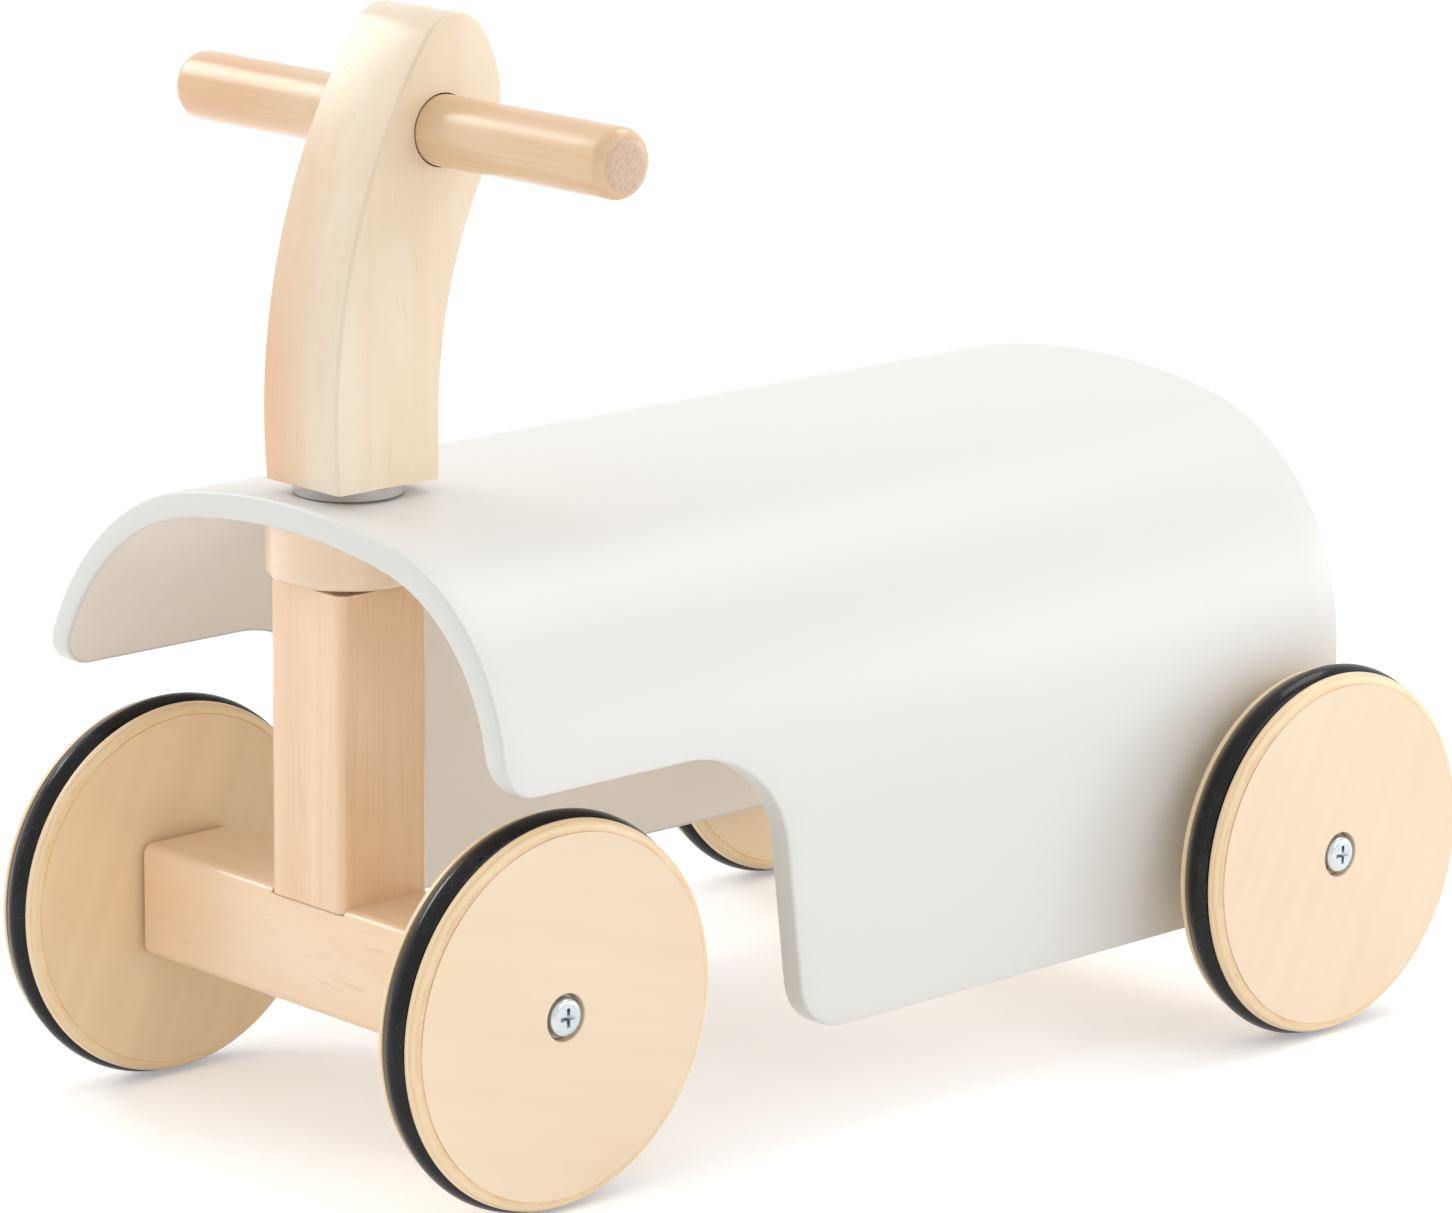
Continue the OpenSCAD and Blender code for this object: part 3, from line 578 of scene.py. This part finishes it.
def fill_sheet(panel, bm, loop, verts, holes, depth, outwards):
    """Fills a loop of (s, y) points, all but its round holes, with triangles that follow the bend."""
    outline = [Vector(p) for p in loop]
    points = list(outline)
    edges = [(i, (i + 1) % len(loop)) for i in range(len(loop))]
    known = list(verts)
    for ring, ring_verts in holes:
        first = len(points)
        points += [Vector(p) for p in ring]
        known += ring_verts
        edges += [(first + i, first + (i + 1) % len(ring)) for i in range(len(ring))]
    rims = []
    for ring, _ in holes:
        centre = sum((Vector(p) for p in ring), Vector((0, 0))) / len(ring)
        rims.append((centre, (Vector(ring[0]) - centre).length))

    def inside(p):
        crossings = 0
        for i, a in enumerate(outline):
            b = outline[i - 1]
            if (a.y > p.y) != (b.y > p.y) and p.x < (b.x - a.x) * (p.y - a.y) / (b.y - a.y) + a.x:
                crossings += 1
        return crossings % 2 == 1

    step_s, step_y, margin = 0.004, 0.0125, 0.0022
    reach = max(p.x for p in outline)
    count_s = int(reach / step_s)
    lows = min(p.y for p in outline)
    count_y = int((panel.tail - lows) / step_y)
    for i in range(-count_s, count_s + 1):
        for j in range(1, count_y + 1):
            p = Vector((i * step_s, lows + j * step_y))
            near_edge = any((p - q).length < margin for q in outline)
            near_hole = any((p - c).length < r + margin for c, r in rims)
            if not near_edge and not near_hole and inside(p):
                points.append(p)
    made = geometry.delaunay_2d_cdt(points, edges, [], 0, 1e-7, True)
    out = []
    for index, p in enumerate(made[0]):
        origin = [k for k in made[3][index] if k < len(known)]
        out.append(known[origin[0]] if origin else bm.verts.new(panel.at(p.x, p.y, depth)))
    for triangle in made[2]:
        centre = sum((made[0][k] for k in triangle), Vector((0, 0))) / 3
        if not inside(centre) or any((centre - c).length < r for c, r in rims):
            continue
        corners = [out[k] for k in triangle]
        face = bm.faces.new(corners if outwards else corners[::-1])
        face.smooth = True


def join_rings(bm, a, b):
    for i in range(len(a)):
        j = (i + 1) % len(a)
        bm.faces.new((a[i], a[j], b[j], b[i]))


def round_hole(s, y, radius, count):
    """(s, y) points round a hole."""
    return [(s + radius * math.cos(2 * math.pi * k / count),
             y + radius * math.sin(2 * math.pi * k / count)) for k in range(count)]


def panel_holes(panel):
    """(s, y, profile, count) of the holes for the steering bush, the axle screws and the beam's
    countersunk screws. A profile is (depth, radius) points from the outer face inwards."""
    axle_z = sum(corner.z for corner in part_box("wheel_rear_left")) / 2
    axle_s = panel.way(axle_z, 0)
    bush = ((0.0, 0.0161), (panel.ply, 0.0161))
    axle = ((0, 0.0043), (panel.ply, 0.0043))
    countersunk = ((0, 0.0048), (0.00225, 0.00255), (panel.ply, 0.00255))
    screw_s, screw_y = 0.011 / math.cos(panel.lean), 0.0125
    holes = [(0.0, FRONT_AXLE_Y, bush, 48)]
    for side in (-1, 1):
        holes.append((side * axle_s, REAR_AXLE_Y, axle, 24))
        for way in (-1, 1):
            holes.append((side * (axle_s - way * screw_s), REAR_AXLE_Y + way * screw_y,
                          countersunk, 24))
    return holes


def body_panel(material):
    """The bent plywood with softly rounded lips."""
    panel = Panel(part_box("shell"))
    bm = bmesh.new()
    for name in ("edge", "inside"):
        bm.faces.layers.float.new(name)
    edge, inside = (bm.faces.layers.float[name] for name in ("edge", "inside"))
    lip = 0.0012
    steps = 4
    levels = [(lip * (1 - math.cos(a)), lip * (1 - math.sin(a)))
              for a in (math.pi / 2 * i / steps for i in range(steps + 1))]
    levels += [(panel.ply - depth, inset) for depth, inset in reversed(levels)]
    loops = [panel.loop(depth, inset) for depth, inset in levels]
    rings = [[bm.verts.new(panel.at(s, y, depth)) for s, y in loop]
             for loop, (depth, _) in zip(loops, levels)]
    for a, b in zip(rings, rings[1:]):
        join_rings(bm, a, b)
    for face in bm.faces:
        face[edge] = 1.0

    outer, inner = [], []
    for s, y, profile, count in panel_holes(panel):
        tunnel = []
        for depth, radius in profile:
            ring = round_hole(s, y, radius, count)
            tunnel.append((ring, [bm.verts.new(panel.at(*p, depth)) for p in ring]))
        for a, b in zip(tunnel, tunnel[1:]):
            join_rings(bm, a[1], b[1])
        outer.append(tunnel[0])
        inner.append(tunnel[-1])
    fill_sheet(panel, bm, loops[0], rings[0], outer, 0.0, True)
    painted = set(bm.faces)
    fill_sheet(panel, bm, loops[-1], rings[-1], inner, panel.ply, False)
    for face in bm.faces:
        face[inside] = 0.0 if face in painted else 1.0
    bmesh.ops.recalc_face_normals(bm, faces=bm.faces)
    piece = link("body_panel", bm, material)
    smooth(piece, 40)
    return settle(piece, ["shell"], "body")


def meet(c1, r1, c2, r2):
    """Upper point where two circles meet, when the second one lies to the left of the first."""
    between = c2 - c1
    d = between.length
    u = between / d
    along = (d * d + r1 * r1 - r2 * r2) / (2 * d)
    return c1 + along * u + math.sqrt(r1 * r1 - along * along) * Vector((u.y, -u.x))


def angle_of(v):
    return math.atan2(v.y, v.x)


def stem_outline(inset, box):
    """The stem seen from the side, as (y, z) points, drawn in by the inset."""
    foot = box[0].z
    curve_z = SEAT_Z + 0.028
    front_r, head_r, round_r = 0.230, 0.0416, 0.0156
    front_reach, back_reach = 0.022, 0.025
    front_c = Vector((FRONT_AXLE_Y + front_r - front_reach, curve_z))
    head_c = Vector((FRONT_AXLE_Y + 0.0118, SEAT_Z + 0.1346))
    offset, lift = head_c.x - FRONT_AXLE_Y - back_reach, head_c.y - curve_z
    back_r = (offset ** 2 + lift ** 2 - head_r ** 2) / (2 * (head_r + offset))
    back_c = Vector((FRONT_AXLE_Y + back_reach + back_r, curve_z))
    round_c = meet(front_c, front_r - round_r, head_c, head_r - round_r)
    front = front_r - inset
    foot_angle = math.pi + math.asin((curve_z - foot) / front)
    top_angle = angle_of(round_c - front_c)
    outline = [front_c + front * Vector((math.cos(foot_angle), math.sin(foot_angle)))]
    outline += arc_points(front_c, front, foot_angle, top_angle, 60)
    head_angle = angle_of(round_c - head_c)
    outline += arc_points(round_c, round_r - inset, top_angle, head_angle, 12)
    tangent = angle_of(back_c - head_c)
    outline += arc_points(head_c, head_r - inset, head_angle, tangent, 64)
    outline += arc_points(back_c, back_r + inset, tangent - math.pi, -math.pi, 44)
    straight = Vector((FRONT_AXLE_Y + back_reach - inset, foot))
    outline += [outline[-1].lerp(straight, i / 6) for i in range(1, 7)]
    return outline


def cylinder(name, radius, start, end, segments=64, end_radius=None):
    """A plain cutter between two points, or a cone with another radius at its end."""
    bm = bmesh.new()
    way = Vector(end) - Vector(start)
    turn = way.to_track_quat("Z", "Y").to_matrix().to_4x4()
    matrix = Matrix.Translation((Vector(start) + Vector(end)) / 2) @ turn
    bmesh.ops.create_cone(bm, cap_ends=True, segments=segments, radius1=radius,
                          radius2=end_radius or radius, depth=way.length, matrix=matrix)
    mesh = bpy.data.meshes.new(name)
    bm.to_mesh(mesh)
    bm.free()
    piece = bpy.data.objects.new(name, mesh)
    bpy.context.scene.collection.objects.link(piece)
    return piece


def cut(piece, cutters):
    """Takes the cutters out of a piece and removes them."""
    for cutter in cutters:
        modifier = piece.modifiers.new("cut", "BOOLEAN")
        modifier.operation = "DIFFERENCE"
        modifier.solver = "EXACT"
        modifier.object = cutter
    depsgraph = bpy.context.evaluated_depsgraph_get()
    mesh = bpy.data.meshes.new_from_object(piece.evaluated_get(depsgraph))
    piece.modifiers.clear()
    piece.data = mesh
    for cutter in cutters:
        bpy.data.objects.remove(cutter)


def shade_bore(piece, axis):
    """Marks the faces of the handlebar's hole, which get painted shade, nearly black."""
    bore = piece.data.attributes.new("bore", "FLOAT", "FACE")
    for face in piece.data.polygons:
        off = (face.center - axis) * Vector((0, 1, 1))
        sideways = abs(face.normal.x) < 0.5
        near = off.length < BAR_HOLE_R + 0.0006
        bore.data[face.index].value = 1.0 if sideways and near else 0.0


def cut_stem(piece, box, bar):
    """Takes the mortise and the holes of the bar, its countersunk screw and the bolt out."""
    low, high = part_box("handlebar_screw")
    screw = Vector((0, high.y, (low.z + high.z) / 2))
    gap, overlap, beyond = 0.00005, 0.0001, 0.02
    head, shank = (high.x - low.x) / 2 + gap, 0.00205
    neck = screw - Vector((0, head - shank, 0))
    sideways = Vector((0.05, 0, 0))
    bolt_r, bolt_reach = 0.00605, 0.047
    mortise_side, mortise_reach = 0.0169, 0.026
    foot = box[0].z
    bm = bmesh.new()
    bmesh.ops.create_cube(bm, size=1, matrix=Matrix.Translation((0, FRONT_AXLE_Y, foot))
                          @ Matrix.Diagonal((mortise_side, mortise_side, 2 * mortise_reach, 1)))
    mortise = link("mortise", bm, piece.data.materials[0])
    cut(piece, [
        cylinder("screw_pocket", head, screw - Vector((0, gap, 0)),
                 screw + Vector((0, beyond, 0)), 48),
        cylinder("screw_cone", shank, neck, screw, 48, head),
        cylinder("screw_hole", shank, neck - Vector((0, beyond, 0)),
                 neck + Vector((0, overlap, 0)), 48),
        cylinder("bar_hole", BAR_HOLE_R, bar - sideways, bar + sideways, 96),
        mortise,
        cylinder("bolt_hole", bolt_r, (0, FRONT_AXLE_Y, foot - 0.01),
                 (0, FRONT_AXLE_Y, foot + bolt_reach), 32),
    ])


def stem_block(material):
    """The curved stem, with its long edges rounded over."""
    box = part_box("stem")
    half = box[1].x
    fillet = 0.0015
    steps = 5
    levels = []
    for i in range(steps + 1):
        a = math.pi / 2 * i / steps
        levels.append((half - fillet * (1 - math.sin(a)), fillet * (1 - math.cos(a))))
    levels = [(-x, inset) for x, inset in reversed(levels)] + levels
    bm = bmesh.new()
    rings = [[bm.verts.new((x, p.x, p.y)) for p in stem_outline(inset, box)] for x, inset in levels]
    for a, b in zip(rings, rings[1:]):
        join_rings(bm, a, b)
    bm.faces.new(rings[0])
    bm.faces.new(rings[-1])
    bmesh.ops.recalc_face_normals(bm, faces=bm.faces)
    piece = link("stem_block", bm, material)
    bar = sum(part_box("handlebar"), Vector()) / 2
    cut_stem(piece, box, bar)
    smooth(piece, 35)
    shade_bore(piece, bar)
    return settle(piece, ["stem"], "column")


def lathe(profile, segments, material, name, closed=True):
    """A ring about the X axis from (radius, x) points of a closed profile, or a capped bar."""
    bm = bmesh.new()
    rings = []
    for radius, x in profile:
        rings.append([bm.verts.new((x, radius * math.cos(t), radius * math.sin(t)))
                      for t in (2 * math.pi * k / segments for k in range(segments))])
    for a, b in zip(rings, rings[1:]):
        join_rings(bm, a, b)
    if closed:
        join_rings(bm, rings[-1], rings[0])
    else:
        bm.faces.new(rings[0])
        bm.faces.new(rings[-1])
    bmesh.ops.recalc_face_normals(bm, faces=bm.faces)
    piece = link(name, bm, material)
    smooth(piece, 35)
    return piece


def disc_profile():
    """(radius, x) points round the disc's section, from the inner face's bore outwards."""
    width, rim, rounding, crease = DISC_WIDTH, RIM_R, RIM_ROUND, CREASE_R
    step, lip = 0.0004, 0.0002
    groove_r, groove_c = 0.00575, 0.06505
    bore, recess, recess_depth, chamfer = 0.00705, 0.0085, 0.0052, 0.0003

    def edge():
        points = [(crease - 0.0001, 0.0), (crease, step * 0.3), (crease + 0.0001, step)]
        points += [(crease + rounding * math.sin(a), rounding - (rounding - step) * math.cos(a))
                   for a in (math.pi / 2 * i / 10 for i in range(1, 11))]
        return points

    half = [(0.030, 0.0), (0.052, 0.0)] + edge()
    groove_in = width / 2 - groove_r
    profile = [(bore, 0.0)] + half + [(rim, groove_in - lip), (rim - lip, groove_in)]
    profile += [(groove_c - groove_r * math.sin(a), width / 2 - groove_r * math.cos(a))
                for a in (math.pi * i / 20 for i in range(21))]
    profile += [(rim - lip, width - groove_in), (rim, width - groove_in + lip)]
    profile += [(r, width - x) for r, x in reversed(half)]
    profile += [(recess + chamfer, width), (recess, width - chamfer),
                (recess, width - recess_depth), (bore, width - recess_depth)]
    return profile


def grip_bar(material):
    """The handlebar, with rounded ends and a thinner stretch inside the stem."""
    low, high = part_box("handlebar")
    half, radius, rounding = high.x, (high.z - low.z) / 2, 0.0056
    waist, stem_half = radius - 0.0003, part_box("stem")[1].x
    end = [(radius - rounding + rounding * math.cos(a), half - rounding + rounding * math.sin(a))
           for a in (math.pi / 2 * i / 12 for i in range(13))]
    bare = [(radius, half * (0.25 + 0.09 * i)) for i in range(1, 8)]
    right = [(waist, 0.0), (waist, stem_half), (radius, stem_half + 0.0001)] + bare + end
    profile = [(r, -x) for r, x in reversed(right[1:])] + right
    piece = lathe(profile, 96, material, "grip_bar", closed=False)
    piece.location = (low + high) / 2
    return settle(piece, ["handlebar"], "column")


def wheel_disc(corner, material, turn):
    """One plywood disc, with a fine step where its rounded rim starts."""
    low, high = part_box("wheel_" + corner)
    side = 1 if "left" in corner else -1
    profile = [(r, x - DISC_WIDTH / 2) for r, x in disc_profile()]
    piece = lathe(profile, 160, material, "disc_" + corner)
    piece.matrix_world = (Matrix.Translation((low + high) / 2)
                          @ Matrix.Rotation(0 if side > 0 else math.pi, 4, "Z"))
    piece["grain_turn"] = turn
    return settle(piece, ["wheel_" + corner], "wheel_" + corner)


# ---------------------------------------------------------------- studio

def camera():
    back = Vector((math.sin(CAMERA_AZ) * math.cos(CAMERA_EL),
                   -math.cos(CAMERA_AZ) * math.cos(CAMERA_EL), math.sin(CAMERA_EL)))
    level = Vector((math.cos(CAMERA_AZ), math.sin(CAMERA_AZ), 0))
    upright = back.cross(level)
    right = math.cos(CAMERA_ROLL) * level + math.sin(CAMERA_ROLL) * upright
    up = back.cross(right)
    data = bpy.data.cameras.new("camera")
    data.sensor_fit = "HORIZONTAL"
    data.sensor_width = 36
    data.lens = FOCAL_PX * data.sensor_width / PHOTO_W
    data.shift_x = -CENTRE_OFF_PX[0] / PHOTO_W
    data.shift_y = CENTRE_OFF_PX[1] / PHOTO_W
    data.clip_start = 0.05
    data.clip_end = 50
    eye = bpy.data.objects.new("camera", data)
    turn = Matrix((right, up, back)).transposed().to_4x4()
    eye.matrix_world = Matrix.Translation(CAMERA_AT) @ turn
    bpy.context.scene.collection.objects.link(eye)
    bpy.context.scene.camera = eye


def softbox(name, at, aim, size, power):
    data = bpy.data.lights.new(name, "AREA")
    data.shape = "RECTANGLE"
    data.size, data.size_y = size
    data.energy = power
    lamp = bpy.data.objects.new(name, data)
    lamp.location = at
    lamp.rotation_mode = "QUATERNION"
    lamp.rotation_quaternion = (Vector(aim) - Vector(at)).to_track_quat("-Z", "Y")
    bpy.context.scene.collection.objects.link(lamp)


def shown(tree):
    """1 on the rays that show a background: to the camera, in gloss and through glass."""
    path = tree.add("ShaderNodeLightPath").outputs
    seen = tree.math("MAXIMUM", path["Is Camera Ray"], path["Is Glossy Ray"])
    return tree.math("MAXIMUM", seen, path["Is Transmission Ray"])


def world(strength):
    """Even white light, which shows as plain white."""
    sky = bpy.data.worlds.new("studio")
    sky.use_nodes = True
    tree = Tree.of(sky)
    light = tree.add("ShaderNodeBackground", {"Strength": strength})
    white = tree.add("ShaderNodeBackground", {"Strength": 1.0, "Color": (1, 1, 1, 1)})
    light.inputs["Color"].default_value = (1, 1, 1, 1)
    mix = tree.add("ShaderNodeMixShader", {0: shown(tree), 1: light.outputs[0], 2: white.outputs[0]})
    tree.add("ShaderNodeOutputWorld", {"Surface": mix.outputs[0]})
    bpy.context.scene.world = sky


def floor():
    """White floor, bright to the camera, that keeps the bike's shadow."""
    bm = bmesh.new()
    bmesh.ops.create_circle(bm, cap_ends=True, segments=96, radius=6)
    tree = Tree("floor")
    diffuse = tree.add("ShaderNodeBsdfDiffuse", {"Color": (0.95, 0.95, 0.95, 1)})
    lift = tree.add("ShaderNodeEmission", {"Strength": tree.math("MULTIPLY", shown(tree), 0.30)})
    both = tree.add("ShaderNodeAddShader", {0: diffuse.outputs[0], 1: lift.outputs[0]})
    tree.add("ShaderNodeOutputMaterial", {"Surface": both.outputs[0]})
    piece = link("floor", bm, tree.material)
    piece.location.z = -0.0002


def studio():
    bpy.context.scene.view_settings.view_transform = "Standard"
    camera()
    world(0.75)
    softbox("left", (-1.65, -0.60, 1.35), (0, -0.1, 0.2), (0.9, 0.7), 11)
    softbox("low", (-1.7, -2.0, 1.0), (0, -0.1, 0.12), (2.6, 1.4), 4.4)
    softbox("right", (2.0, 0.5, 1.4), (0, -0.1, 0.15), (1.6, 1.2), 6.5)
    softbox("top", (0.2, 1.2, 2.2), (0, 0, 0.2), (1.2, 1.2), 11)
    softbox("behind", (1.3, 2.0, 0.5), (-0.1, 0.0, 0.12), (1.4, 0.8), 9)
    floor()


def main():
    for leftover in list(bpy.data.objects):
        bpy.data.objects.remove(leftover)
    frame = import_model()
    made = dress_nodes(frame)
    studio()
    body_panel(made["white_plywood"])
    stem_block(made["stem_wood"])
    grip_bar(made["dowel_wood"])
    for corner, turn in zip(CORNERS, (0.3, 1.2, 2.0, 2.8)):
        wheel_disc(corner, made["wheel_plywood"], turn)


main()
